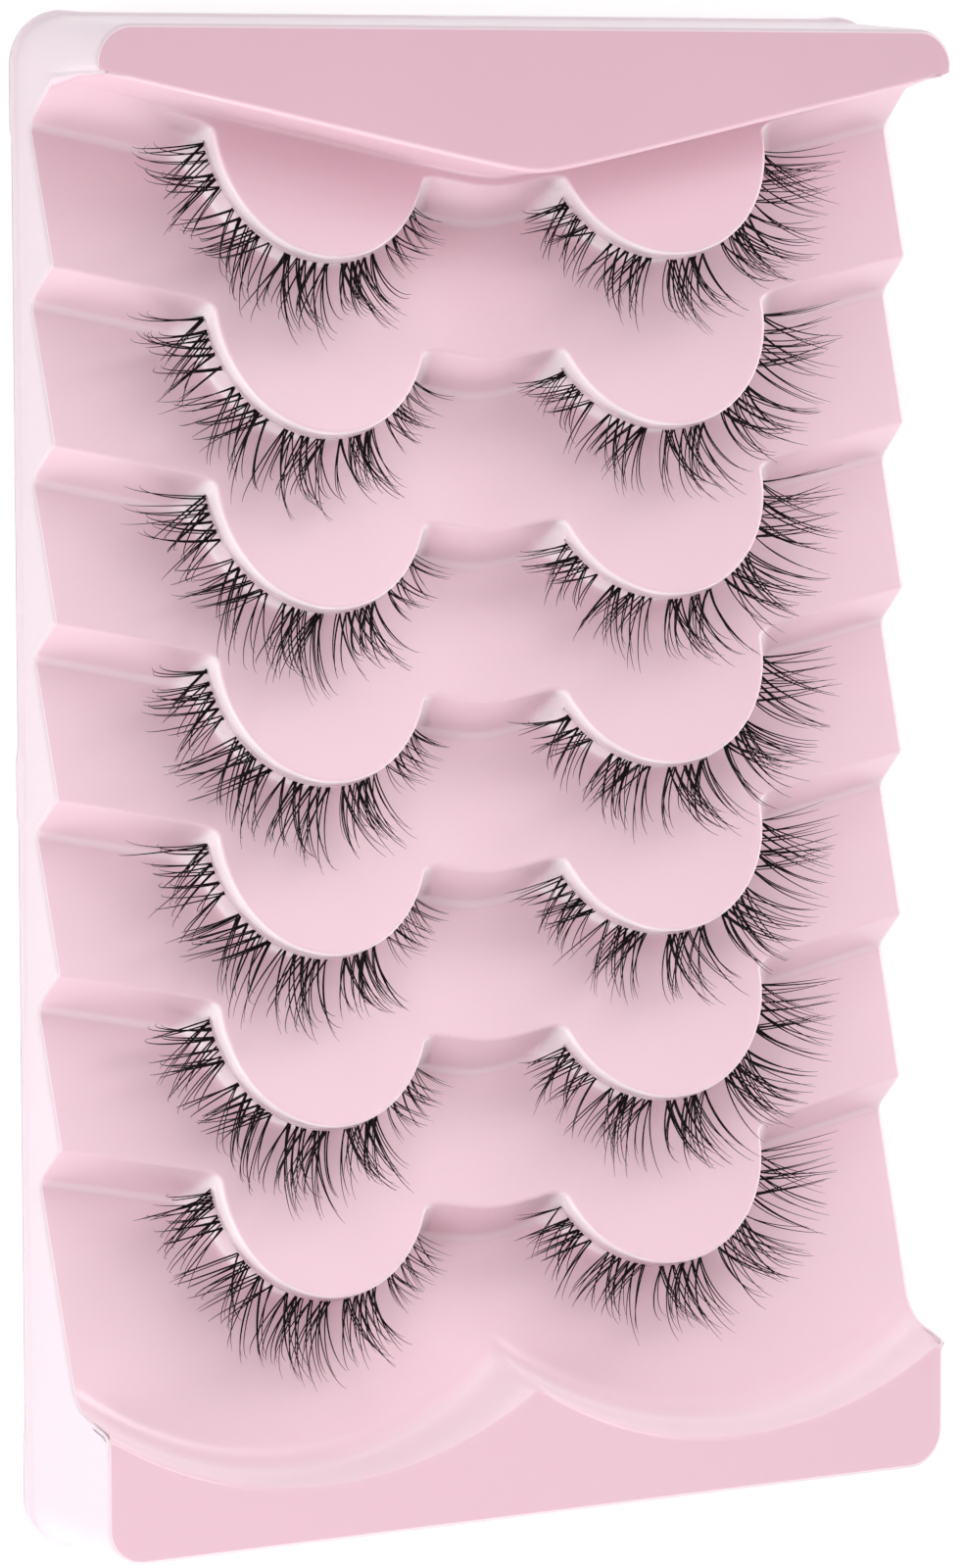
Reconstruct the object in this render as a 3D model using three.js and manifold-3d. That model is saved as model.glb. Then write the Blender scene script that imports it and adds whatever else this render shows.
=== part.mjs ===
// Display tray with seven mirrored pairs of false-lash strips.
// The tray is one thin formed sheet, open underneath: a raised header, seven chevron tiers that step down
// from it, two half-moon tongues on each tier and a raised footer with two scallops. A lash strip hugs the
// round wall of each tongue: a thin band that carries five clusters of upswept locks.
// Millimetres. +Z points out of the tray's front, +Y towards the header, the origin is under its middle.

import * as THREE from 'three';
import { mergeVertices } from 'three/addons/utils/BufferGeometryUtils.js';
import Module from 'manifold-3d';

const wasm = await Module();
wasm.setup();

// Tray shell
const DEPTH = 19.5;
const FRONT_WIDTH = 112;
const FRONT_LENGTH = 173.9;
const FRONT_CORNER = 4.6;
const SIDE_DRAFT = 0.06;
const WALL = 0.7;
const RIM_HEIGHT = 0.9;
const RIM_OUTSET = 0.4;
const CORNER_STEPS = 5;

// Tiers: a station is a place along the length at the tray's long sides, a drop is below the front
const TIER_COUNT = 7;
const TIER_PITCH = 20.09;
const HEADER_STATION = 81.6;
const HEADER_FOOT_STATION = 81.3;
const RISER_STATION = 80.06;
const RISER_RUN = 4.5;
const RISER_TOP_DROP = 11.1;
const RISER_FOOT_DROP = 16.4;
const RISER_FOOT_CHAMFER = 1.2;
const END_STATION = 108;
const TIER_SLOPE = (RISER_FOOT_DROP - RISER_TOP_DROP) / (TIER_PITCH - RISER_RUN);

// Chevron: every line across the tray dips towards the middle and is rounded at its tip
const CHEVRON_SLOPE = 0.2145;
const CHEVRON_TIP = 2.8;
const ACROSS_PLACES = [-60, -7, -2.5, 2.5, 7, 60];

// Half-moon tongues, two on each tier
const TONGUE_X = 22.45;
const TONGUE_SETBACK = 1.2;
const TONGUE_RADIUS = 13.95;
const TONGUE_DRAFT = 0.075;
const TONGUE_REACH = 18;
const TONGUE_STEP = 0.1;
const TONGUE_SIDES = 28;

// Footer scallops
const SCALLOP_X = 27.86;
const SCALLOP_Y = -31.1;
const SCALLOP_RADIUS = 49.15;
const SCALLOP_DRAFT = 0.14;
const SCALLOP_SIDES = 60;
const FOOTER_TOP_Y = -66;
const CUT_MARGIN = 1;

// Lash strips
const BAND_GAP = 0.3;
const BAND_THICKNESS = 0.5;
const BAND_HEIGHT = 0.7;
const BAND_DROP = 2;
const BAND_START = 1;
const BAND_END = 149;
const BAND_STEPS = 10;
const LOCK_RADIUS = 0.34;
const LOCK_SIDES = 3;
const LOCK_STEPS = 2;
const LOCK_CURL = 76;
const LOCK_SPREAD = 8;
const LOCKS = [-1, 0, 1];
// at: degrees round the tongue from the outer corner, lean: turn from straight out, fan: turn between locks
const CLUSTERS = [
  { at: 13, length: 11.5, lean: 10, fan: 15 },
  { at: 44, length: 11.5, lean: 4, fan: 16 },
  { at: 76, length: 10.5, lean: 0, fan: 16 },
  { at: 106, length: 8.5, lean: -4, fan: 16 },
  { at: 136, length: 5, lean: -8, fan: 16 },
];

const SIDES = [
  { prefix: 'lash_left', sign: -1 },
  { prefix: 'lash_right', sign: 1 },
];

const trayPlastic = new THREE.MeshStandardMaterial({ color: 0xe6bfce, roughness: 0.25, metalness: 0 });
const lashFibre = new THREE.MeshStandardMaterial({ color: 0x1a1315, roughness: 0.5, metalness: 0 });

// Solids in and out

function toSolid(geometry) {
  geometry.deleteAttribute('normal');
  geometry.deleteAttribute('uv');
  const merged = mergeVertices(geometry);
  const mesh = new wasm.Mesh({
    numProp: 3,
    vertProperties: new Float32Array(merged.attributes.position.array),
    triVerts: new Uint32Array(merged.index.array),
  });
  return new wasm.Manifold(mesh);
}

function toGeometry(solid) {
  const mesh = solid.getMesh();
  const geometry = new THREE.BufferGeometry();
  geometry.setAttribute('position', new THREE.BufferAttribute(new Float32Array(mesh.vertProperties), 3));
  geometry.setIndex(new THREE.BufferAttribute(new Uint32Array(mesh.triVerts), 1));
  geometry.computeVertexNormals();
  return geometry;
}

// Moves every vertex of a geometry to where change(point) puts it.
function reshape(geometry, change) {
  const place = geometry.attributes.position;
  const point = new THREE.Vector3();
  for (let i = 0; i < place.count; i++) {
    point.fromBufferAttribute(place, i);
    change(point);
    place.setXYZ(i, point.x, point.y, point.z);
  }
  return geometry;
}

// Tray lines

function chevronDip(x) {
  return CHEVRON_SLOPE * (FRONT_WIDTH / 2 - Math.hypot(x, CHEVRON_TIP));
}

function riserStation(tier) {
  return RISER_STATION - tier * TIER_PITCH;
}

// Height of the surface above a tier's riser, carried on past the riser's edge.
function tongueHeight(tier, station) {
  return DEPTH - RISER_TOP_DROP - TIER_SLOPE * (station - riserStation(tier));
}

function tongueCentreY(tier) {
  return riserStation(tier) - chevronDip(TONGUE_X) + TONGUE_SETBACK;
}

function tongueCentreHeight(tier) {
  return tongueHeight(tier, riserStation(tier) + TONGUE_SETBACK);
}

// Side view of the tray's front surface, from the header's back to the footer's end.
function stairLine() {
  const line = new THREE.Path();
  line.moveTo(END_STATION, DEPTH);
  line.lineTo(HEADER_STATION, DEPTH);
  line.lineTo(HEADER_FOOT_STATION, tongueHeight(0, HEADER_FOOT_STATION));
  for (let tier = 0; tier < TIER_COUNT; tier++) {
    const top = riserStation(tier);
    const foot = top - RISER_RUN;
    const footHeight = DEPTH - RISER_FOOT_DROP;
    const rise = (RISER_FOOT_DROP - RISER_TOP_DROP) / RISER_RUN;
    line.lineTo(top, DEPTH - RISER_TOP_DROP);
    line.lineTo(foot + RISER_FOOT_CHAMFER, footHeight + rise * RISER_FOOT_CHAMFER);
    line.lineTo(foot - RISER_FOOT_CHAMFER, footHeight + TIER_SLOPE * RISER_FOOT_CHAMFER);
  }
  line.lineTo(-END_STATION, tongueHeight(TIER_COUNT, -END_STATION));
  return line.getPoints();
}

// The same line moved into the sheet by a wall's thickness, with mitred corners.
function insetLine(points, inset) {
  const normals = [];
  for (let i = 0; i + 1 < points.length; i++) {
    const along = points[i + 1].clone().sub(points[i]).normalize();
    normals.push(new THREE.Vector2(-along.y, along.x));
  }
  return points.map((point, i) => {
    const before = normals[Math.max(i - 1, 0)];
    const after = normals[Math.min(i, normals.length - 1)];
    const mitre = before.clone().add(after);
    return point.clone().addScaledVector(mitre, inset / (1 + before.dot(after)));
  });
}

// Sweeps a side view, given as stations and heights, across the tray along the chevron.
function sweepAcross(outline) {
  const last = ACROSS_PLACES.length - 1;
  const options = { depth: last, steps: last, bevelEnabled: false };
  const sweep = new THREE.ExtrudeGeometry(new THREE.Shape(outline), options);
  reshape(sweep, (point) => {
    const x = ACROSS_PLACES[Math.round(point.z)];
    point.set(x, point.x - chevronDip(x), point.y);
  });
  return toSolid(sweep);
}

// Tray solids: inset 0 gives the outer form, inset WALL the hollow inside it

function stairs(inset) {
  const front = insetLine(stairLine(), inset);
  const outline = [
    ...front,
    new THREE.Vector2(-END_STATION, -inset),
    new THREE.Vector2(END_STATION, -inset),
  ];
  return sweepAcross(outline);
}

// A round post between two heights, whose radius at a height comes from radiusAt(height).
function taperedPost(x, y, bottom, top, radiusAt, sides) {
  const post = new THREE.CylinderGeometry(radiusAt(top), radiusAt(bottom), top - bottom, sides);
  post.rotateX(Math.PI / 2);
  post.translate(x, y, (top + bottom) / 2);
  return toSolid(post);
}

function tongueRadius(tier, height) {
  return TONGUE_RADIUS + TONGUE_DRAFT * (tongueCentreHeight(tier) - height);
}

function tongues(tier, inset) {
  const near = riserStation(tier) + TONGUE_REACH;
  const far = riserStation(tier) - TONGUE_REACH;
  const lowered = TONGUE_STEP + inset * Math.hypot(1, TIER_SLOPE);
  const wedge = sweepAcross([
    new THREE.Vector2(near, tongueHeight(tier, near) - lowered),
    new THREE.Vector2(far, tongueHeight(tier, far) - lowered),
    new THREE.Vector2(far, -inset),
    new THREE.Vector2(near, -inset),
  ]);
  const radiusAt = (height) => tongueRadius(tier, height) - inset;
  const [left, right] = SIDES.map(({ sign }) =>
    taperedPost(sign * TONGUE_X, tongueCentreY(tier), -inset, DEPTH, radiusAt, TONGUE_SIDES));
  return left.add(right).intersect(wedge);
}

// A rounded block as wide as the tray's front at its top, with drafted sides.
function draftedBlock(bottom, top, outset) {
  const halfWidth = FRONT_WIDTH / 2;
  const halfLength = FRONT_LENGTH / 2;
  const outline = new THREE.Shape();
  outline.moveTo(halfWidth - FRONT_CORNER, -halfLength);
  outline.absarc(halfWidth - FRONT_CORNER, -halfLength + FRONT_CORNER, FRONT_CORNER, -Math.PI / 2, 0);
  outline.absarc(halfWidth - FRONT_CORNER, halfLength - FRONT_CORNER, FRONT_CORNER, 0, Math.PI / 2);
  outline.absarc(-halfWidth + FRONT_CORNER, halfLength - FRONT_CORNER, FRONT_CORNER, Math.PI / 2, Math.PI);
  outline.absarc(-halfWidth + FRONT_CORNER, -halfLength + FRONT_CORNER, FRONT_CORNER, Math.PI, Math.PI * 1.5);
  const options = { depth: top - bottom, bevelEnabled: false, curveSegments: CORNER_STEPS };
  const block = new THREE.ExtrudeGeometry(outline, options);
  reshape(block, (point) => {
    point.z += bottom;
    const grow = outset + SIDE_DRAFT * (DEPTH - point.z);
    point.x += Math.sign(point.x) * grow;
    point.y += Math.sign(point.y) * grow;
  });
  return toSolid(block);
}

function footer(inset) {
  const bottom = -inset;
  const top = DEPTH - inset;
  const block = new THREE.BoxGeometry(2 * END_STATION, END_STATION + FOOTER_TOP_Y, top - bottom);
  block.translate(0, (FOOTER_TOP_Y - END_STATION) / 2, (top + bottom) / 2);
  const radiusAt = (height) => SCALLOP_RADIUS + inset - SCALLOP_DRAFT * (DEPTH - height);
  let solid = toSolid(block);
  for (const { sign } of SIDES) {
    const low = bottom - CUT_MARGIN;
    const high = DEPTH + CUT_MARGIN;
    solid = solid.subtract(taperedPost(sign * SCALLOP_X, SCALLOP_Y, low, high, radiusAt, SCALLOP_SIDES));
  }
  return solid;
}

function formed(inset) {
  let form = stairs(inset).add(footer(inset));
  for (let tier = 0; tier < TIER_COUNT; tier++) {
    form = form.add(tongues(tier, inset));
  }
  return form.intersect(draftedBlock(-inset, DEPTH, -inset));
}

function makeTray() {
  const rim = draftedBlock(0, RIM_HEIGHT, RIM_OUTSET);
  const shell = formed(0).add(rim).subtract(formed(WALL));
  const tray = new THREE.Mesh(toGeometry(shell), trayPlastic);
  tray.name = 'tray';
  return tray;
}

// Lash strips

// A place on a strip's centre line, with the level direction straight out from the tongue there.
function bandPlace(sign, tier, degrees) {
  const angle = THREE.MathUtils.degToRad(degrees);
  const out = new THREE.Vector3(sign * Math.cos(angle), -Math.sin(angle), 0);
  const centre = new THREE.Vector3(sign * TONGUE_X, tongueCentreY(tier), 0);
  const edge = centre.clone().addScaledVector(out, TONGUE_RADIUS);
  const height = tongueHeight(tier, edge.y + chevronDip(edge.x)) - BAND_DROP;
  const reach = tongueRadius(tier, height) + BAND_GAP + BAND_THICKNESS / 2;
  const spot = centre.addScaledVector(out, reach);
  spot.z = height;
  return { spot, out };
}

// The band is a flat strip bent round the tongue: a box whose length is wrapped along the strip's line.
function makeBand(sign, tier) {
  const box = new THREE.BoxGeometry(BAND_END - BAND_START, BAND_THICKNESS, BAND_HEIGHT, BAND_STEPS);
  reshape(box, (point) => {
    const degrees = (BAND_START + BAND_END) / 2 - sign * point.x;
    const { spot, out } = bandPlace(sign, tier, degrees);
    spot.addScaledVector(out, -point.y);
    spot.z += point.z;
    point.copy(spot);
  });
  return toSolid(box);
}

// A tapered lock that leaves the band level and curls up along a circular arc.
function makeLock(root, heading, length) {
  const up = new THREE.Vector3(0, 0, 1);
  const across = heading.clone().cross(up);
  const curl = THREE.MathUtils.degToRad(LOCK_CURL);
  const horn = new THREE.ConeGeometry(LOCK_RADIUS, length, LOCK_SIDES, LOCK_STEPS);
  reshape(horn, (point) => {
    const turn = curl * (point.y / length + 0.5);
    const bend = length / curl - point.z;
    const spot = root.clone().addScaledVector(across, point.x);
    spot.addScaledVector(heading, bend * Math.sin(turn));
    spot.addScaledVector(up, length / curl - bend * Math.cos(turn));
    point.copy(spot);
  });
  return toSolid(horn);
}

function makeLash(sign, tier) {
  let strip = makeBand(sign, tier);
  for (const { at, length, lean, fan } of CLUSTERS) {
    for (const place of LOCKS) {
      const { spot, out } = bandPlace(sign, tier, at + place * LOCK_SPREAD);
      const turn = THREE.MathUtils.degToRad(lean + place * fan);
      const heading = out.applyAxisAngle(new THREE.Vector3(0, 0, -sign), turn);
      strip = strip.add(makeLock(spot, heading, length));
    }
  }
  return new THREE.Mesh(toGeometry(strip), lashFibre);
}

// The whole part

const part = new THREE.Group();
part.add(makeTray());
for (const { prefix, sign } of SIDES) {
  for (let tier = 0; tier < TIER_COUNT; tier++) {
    const lash = makeLash(sign, tier);
    lash.name = `${prefix}_${tier + 1}`;
    part.add(lash);
  }
}

export default part;
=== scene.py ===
"""Looks of a display tray with seven pairs of false-lash strips.

The tray is one smooth formed skin with rounded edges and a real sheet thickness. Every lash strip is made
hair by hair on a clear band. Sizes are in millimetres, and the tray's main ones repeat the solids' driving
dimensions. The meshes are made in metres, and the floor, the lights and the camera's reach are given in
metres. A station is a place along the tray's length, measured at its long sides.
"""

import math

import bpy
import numpy as np
from mathutils import Matrix, Vector
from mathutils.geometry import delaunay_2d_cdt


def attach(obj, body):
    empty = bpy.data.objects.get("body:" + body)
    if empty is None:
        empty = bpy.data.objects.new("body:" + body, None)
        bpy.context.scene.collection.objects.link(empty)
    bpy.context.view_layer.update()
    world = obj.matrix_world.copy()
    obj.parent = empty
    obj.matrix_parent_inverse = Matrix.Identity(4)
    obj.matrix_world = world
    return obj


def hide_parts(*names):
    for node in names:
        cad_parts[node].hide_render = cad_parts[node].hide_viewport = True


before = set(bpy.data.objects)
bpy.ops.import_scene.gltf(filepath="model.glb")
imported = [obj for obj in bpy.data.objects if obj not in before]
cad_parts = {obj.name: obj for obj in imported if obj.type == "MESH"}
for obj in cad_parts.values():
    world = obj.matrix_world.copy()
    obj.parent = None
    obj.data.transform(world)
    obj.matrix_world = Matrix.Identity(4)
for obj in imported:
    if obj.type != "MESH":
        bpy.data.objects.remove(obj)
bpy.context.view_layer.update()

MM = 0.001
SIGNS = {"left": -1, "right": 1}

# Tray shell
DEPTH = 19.5
FRONT_WIDTH = 112.0
FRONT_LENGTH = 173.9
FRONT_CORNER = 4.6
SIDE_DRAFT = 0.06
SHEET = 0.5
RIM_HEIGHT = 0.9
RIM_OUTSET = 0.4
SIDE_EDGE_ROUND = 0.55
RIM_SWELL = 0.22
RIM_SWELL_CORNER = (7.0, 12.5)
RIM_SWELL_FADE = 1.0
RIM_NUB_Y = 0.5
RIM_NUB_HALF = 3.0
RIM_NUB_FADE = 1.5
NEAR_LONG_SIDE = 1.0

# Rows of the side wall: turns of its rounded edge in degrees, then shares of its height
EDGE_TURNS = (22.5, 45, 67.5, 86)
WALL_SHARES = (0.15, 0.3, 0.5, 0.7, 1)
SHEET_ROWS = len(EDGE_TURNS) + len(WALL_SHARES)
WALL_ABOVE_RIM = 0.5
# One row a ring of the rim: the share of its width that it stands out, and its height
RIM_SHAPE = [
    {"out": 0.06, "height": 1.2},
    {"out": 0.25, "height": 1.0},
    {"out": 0.5, "height": 0.9},
    {"out": 0.74, "height": 0.78},
    {"out": 0.9, "height": 0.6},
    {"out": 1.0, "height": 0.3},
    {"out": 0.95, "height": 0.0},
]

# Tiers
TIER_COUNT = 7
TIER_PITCH = 20.09
HEADER_STATION = 81.6
HEADER_FOOT_STATION = 81.3
HEADER_SIDE_FOOT_STATION = 80.9
RISER_STATION = 80.06
RISER_RUN = 4.5
RISER_TOP_DROP = 11.1
RISER_FOOT_DROP = 16.4
END_STATION = 108.0
RISER_DROP = RISER_FOOT_DROP - RISER_TOP_DROP
TIER_SLOPE = RISER_DROP / (TIER_PITCH - RISER_RUN)
TIER_TILT = math.atan(TIER_SLOPE)
HEADER_EDGE_ROUND = 0.7
HEADER_FOOT_ROUND = 0.9
HEADER_CORNER_ROUND = 1.2
LEDGE_FOOT_ROUND = 0.5
LEDGE_EDGE_ROUND = 0.5
LEDGE_FULL_X = 34.0
LEDGE_END_X = 47.0
RISER_TOP_ROUND = 0.6
RISER_FOOT_ROUND = 1.4
ROUND_STEPS = 6

# Chevron
CHEVRON_SLOPE = 0.2145
CHEVRON_TIP = 2.8

# Half-moon tongues
TONGUE_X = 22.45
TONGUE_SETBACK = 1.2
TONGUE_RADIUS = 13.95
TONGUE_DRAFT = 0.075
TONGUE_EDGE_ROUND = 0.6
TONGUE_FOOT_ROUND = 1.6
TONGUE_JOINT_ROUND = 0.6
TONGUE_JOINT_GROWTH = 0.45
TONGUE_ARC = (-22, 192)
TONGUE_ARC_POINTS = 76
TONGUE_SPARE = 2

# Footer scallops
SCALLOP_X = 27.86
SCALLOP_Y = -31.1
SCALLOP_RADIUS = 49.15
SCALLOP_DRAFT = 0.14
SCALLOP_EDGE_ROUND = 0.6
SCALLOP_FOOT_ROUND = 2.4
SCALLOP_CUSP_ROUND = 1.2
SCALLOP_ARC = (-160, -20)
SCALLOP_ARC_POINTS = 130
SCALLOP_PAST_MIDDLE = 1.5
FOOTER_ZONE_Y = -60.0

# Tint of the sheet, with painted light and shade
# It is a place on one scale of colours: painted shade makes it deeper where the sheet lies level at full
# height, painted light makes it paler over the tongue and scallop walls, and a painted highlight makes a
# pale line along each riser's foot. The outer side walls take a greyer, darker tint of their own: painted
# shade against the strong side light, with painted sheen in its greyness.
# A pair of values is where a smooth change starts and ends
TINT_LAYER = "tint_with_painted_light"
TIER_TINT = 0.4
# Painted shade on the level header and footer
HEADER_PAINTED_SHADE = 0.4
FOOTER_PAINTED_SHADE = 0.2
# Painted light on the steep tongue and scallop walls
TONGUE_WALL_PAINTED_LIGHT = 0.37
SCALLOP_WALL_PAINTED_LIGHT = 0.2
# Painted shade and painted sheen: a greyer, darker tint on the outer side walls
SIDE_WALL_SHADE_AND_SHEEN = 1.0
# Painted highlight along each riser's foot, and how far its pale line reaches
RISER_FOOT_PAINTED_HIGHLIGHT = 0.12
RISER_FOOT_HIGHLIGHT_REACH = (0.2, 0.6)
LEVEL_DEPTHS = (0.3, 2.0)
RAISED_HEIGHTS = (0.1, 0.6)
STEEP_TURNS = (0.06, 0.36)
TINT_MOTTLE = 0.04
# Stops: a deeper tint for painted shade, the sheet's own pink, a paler tint for painted light and highlight,
# and a greyer tint for the side walls' painted shade and sheen
TINTS = [
    {"at": 0.0, "colour": (0.745, 0.472, 0.56)},
    {"at": 0.4, "colour": (0.822, 0.568, 0.648)},
    {"at": 0.8, "colour": (0.965, 0.83, 0.87)},
    {"at": 1.0, "colour": (0.69, 0.58, 0.63)},
]

# Plan mesh
SIDE_STEP = 0.8
SIDE_PROBE = 0.02
LEAST_STEP = 0.015
END_SPACING = 2.5
CORNER_POINTS = 16
CLEAR_OF_EDGE = 0.2
WELD = 1e-4
HALVINGS = 40
RING_PASSES = 16
CLIMB_REACH = 0.7
CLIMB_PROBES = 9
CLIMB_STEP = 0.15
SLOPE_PROBE = 0.01
# Points across the tray: close ones round the chevron's tip, wider ones from there to each side
MIDDLE_SPAN = (-14, 14)
MIDDLE_POINTS = 29
FLANK_SPAN = (16, 57)
FLANK_POINTS = 18
STATION_DECIMALS = 4
# Rows along a wall: inside its edge and past its foot, as shares of their rounds, and across it between them
ROW_INSIDE_EDGE = 1.5
ROW_PAST_FOOT = 1.3
STRAIGHT_SHARES = (0.35, 0.7)
# Which triangles the plan's triangulation gives back: those inside its outline
INSIDE_ONLY = 1
LEAST_LENGTH = 1e-12

# Lash strips
BAND_DROP = 2.0
BAND_DROP_SPREAD = 0.4
BAND_GAP = 0.3
BAND_ARC = (0, 152)
BAND_POINTS = 60
BAND_THICKNESS = 0.14
BAND_HEIGHT = 0.2
# Corners of the band's section, as shares of its thickness and height
BAND_SECTION = [(0, -0.5), (1, -0.5), (1, 0.5), (0, 0.5)]
ROOT_OUTSET = 0.42
HAIR_ROOT_RADIUS = 0.108
HAIR_TIP_RADIUS = 0.016
HAIR_TAPER_POWER = 1.6
HAIR_THICKNESS = (0.7, 1.1)
# A hair shorter than this is slighter in step with its length, down to the share below
HAIR_FULL_LENGTH = 10.0
HAIR_SLIGHTEST = 0.7
ROOT_SCATTER = 0.08
HAIR_RINGS = 13
HAIR_SIDES = 5
HAIR_FIRST_RISE = -20.0
HAIR_FIRST_SPREAD = 3.0
HAIR_CURL_SPREAD = 8.0
HAIR_CURL_POWER = 0.74
HAIR_FLICK_POWER = 7
HAIR_BEND = 4.0
HAIR_SHORTEST = 0.74
HAIR_LONGEST = 1.06
KNOTS = 6
KNOT_SPREAD = 0.09
KNOT_WIDTH = 0.6
BUNDLE_HAIRS = (2, 3)
BUNDLE_LEAN = 3.0
BUNDLE_FAN = 3.2
STRIP_SHIFT_SPREAD = 1.2
SEED_STEP = 100
# One row a cluster. In degrees round the tongue from the strip's outer end: its middle, its half width and
# the aims of its two crossing families of hair; then hair length, and the rise and last flick of the tips
CLUSTERS = {
    "left": [
        {"at": 12, "half": 10.2, "outer": 3, "inner": 40, "length": 13.0, "curl": 50, "flick": 50},
        {"at": 44.5, "half": 10.5, "outer": 17, "inner": 60, "length": 13.4, "curl": 52, "flick": 20},
        {"at": 75, "half": 10.5, "outer": 50, "inner": 76, "length": 13.6, "curl": 58, "flick": 6},
        {"at": 104, "half": 9.5, "outer": 74, "inner": 101, "length": 10.6, "curl": 60, "flick": 6},
        {"at": 134, "half": 12, "outer": 102, "inner": 140, "length": 5.4, "curl": 52, "flick": 0},
    ],
    "right": [
        {"at": 18, "half": 12, "outer": 0, "inner": 40, "length": 10.6, "curl": 54, "flick": 6},
        {"at": 49, "half": 9.5, "outer": 36, "inner": 73, "length": 11.2, "curl": 66, "flick": 6},
        {"at": 81, "half": 10, "outer": 78, "inner": 112, "length": 11.6, "curl": 58, "flick": 6},
        {"at": 111, "half": 9.5, "outer": 114, "inner": 144, "length": 11.2, "curl": 46, "flick": 6},
        {"at": 141, "half": 9.5, "outer": 132, "inner": 166, "length": 10.0, "curl": 46, "flick": 6},
    ],
}

# Looks, named as the sockets that they are set on
TRAY_SHADER = {
    "Roughness": 0.34,
    "Specular IOR Level": 0.4,
    "Coat Weight": 0.15,
    "Coat Roughness": 0.12,
    "Subsurface Weight": 0.12,
    "Subsurface Radius": (1.0, 0.45, 0.55),
    "Subsurface Scale": 1.2 * MM,
}
TRAY_MOTTLE = {"Scale": 18, "Detail": 2}
TRAY_GRAIN = {"Scale": 260, "Detail": 3}
TRAY_BUMP = {"Strength": 0.04, "Distance": 0.3 * MM}
FIBRE_SHADER = {"Roughness": 0.55, "Specular IOR Level": 0.12}
FIBRE_MOTTLE = {"Scale": 900, "Detail": 2}
FIBRE_TINTS = [
    {"at": 0, "colour": (0.003, 0.0015, 0.002)},
    {"at": 1, "colour": (0.01, 0.005, 0.007)},
]
BAND_SHADER = {
    "Base Color": (0.95, 0.9, 0.92, 1),
    "Roughness": 0.3,
    "Transmission Weight": 1,
    "IOR": 1.3,
}
FLOOR_SHADER = {
    "Roughness": 0.9,
    "Emission Color": (1, 1, 1, 1),
    "Emission Strength": 0.2,
}
FLOOR_MOTTLE = {"Scale": 4, "Detail": 2}
FLOOR_TINTS = [
    {"at": 0, "colour": (0.9, 0.9, 0.9)},
    {"at": 1, "colour": (0.93, 0.93, 0.93)},
]

# Camera, floor and light
CAMERA_PLACE = (-328.7, 73.84, 617.3)
CAMERA_YAW = 28.22
CAMERA_PITCH = 6.205
CAMERA_ROLL = 0.108
CAMERA_LENS = 135.73
CAMERA_REACH = 20
FLOOR_SIZE = 6.0
SKY_STRENGTH = 0.15
# One row a light: place, aim, width and height in metres, power in watts and spread in degrees
LIGHTS = [
    {"name": "left_box", "place": (-0.85, 0, 0.45), "aim": (0, 0, 0),
     "size": (0.9, 0.4), "power": 1.4, "spread": 180},
    {"name": "left_low", "place": (-0.9, -0.2, 0.14), "aim": (0, 0, 0),
     "size": (1.0, 0.2), "power": 1.1, "spread": 180},
    {"name": "near_box", "place": (-0.45, -0.2, 0.34), "aim": (0, 0, 0),
     "size": (0.4, 0.3), "power": 1.0, "spread": 180},
    {"name": "right_low", "place": (0.9, 0, 0.12), "aim": (0, 0, 0),
     "size": (1.0, 0.2), "power": 2.3, "spread": 180},
    {"name": "right_line", "place": (0.8, 0, 0.32), "aim": (0, 0, 0),
     "size": (1.2, 0.1), "power": 2.4, "spread": 180},
    {"name": "head_low", "place": (0, 0.9, 0.32), "aim": (0, 0, 0),
     "size": (1.0, 0.2), "power": 1.5, "spread": 180},
    {"name": "head_high", "place": (0, 0.55, 0.85), "aim": (0, 0, 0),
     "size": (0.9, 0.4), "power": 1.75, "spread": 180},
    {"name": "foot_low", "place": (0, -0.95, 0.12), "aim": (0, 0, 0),
     "size": (1.0, 0.2), "power": 5.0, "spread": 180},
    {"name": "foot_box", "place": (0, -0.9, 0.45), "aim": (0, 0, 0),
     "size": (0.9, 0.4), "power": 2.0, "spread": 180},
    {"name": "left_grid", "place": (-0.6, 0.3, 0.4), "aim": (0, -0.1, 0),
     "size": (0.4, 0.4), "power": 0.09, "spread": 30},
    {"name": "right_grid", "place": (0.6, 0.3, 0.4), "aim": (0, -0.1, 0),
     "size": (0.45, 0.4), "power": 0.175, "spread": 30},
    {"name": "high_grid", "place": (-0.45, -0.1, 0.6), "aim": (0, -0.08, 0),
     "size": (0.4, 0.4), "power": 0.07, "spread": 34},
]


# Small maths

def round_max(a, b, radius):
    """Larger of two distances, rounded by that radius where both come near zero."""
    corner = np.hypot(np.maximum(a + radius, 0), np.maximum(b + radius, 0))
    return np.minimum(np.maximum(a, b), -radius) + corner


def flare(rise, radius):
    """How far a wall spreads at its foot, for a hollow round of that radius."""
    short = np.clip(radius - rise, 0, radius)
    return radius - np.sqrt(radius ** 2 - short ** 2)


def settle(outside, low, high):
    """Height between low and high where outside(height) turns positive, by halving."""
    for _ in range(HALVINGS):
        middle = (low + high) / 2
        out = outside(middle) > 0
        high = np.where(out, middle, high)
        low = np.where(out, low, middle)
    return (low + high) / 2


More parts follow.
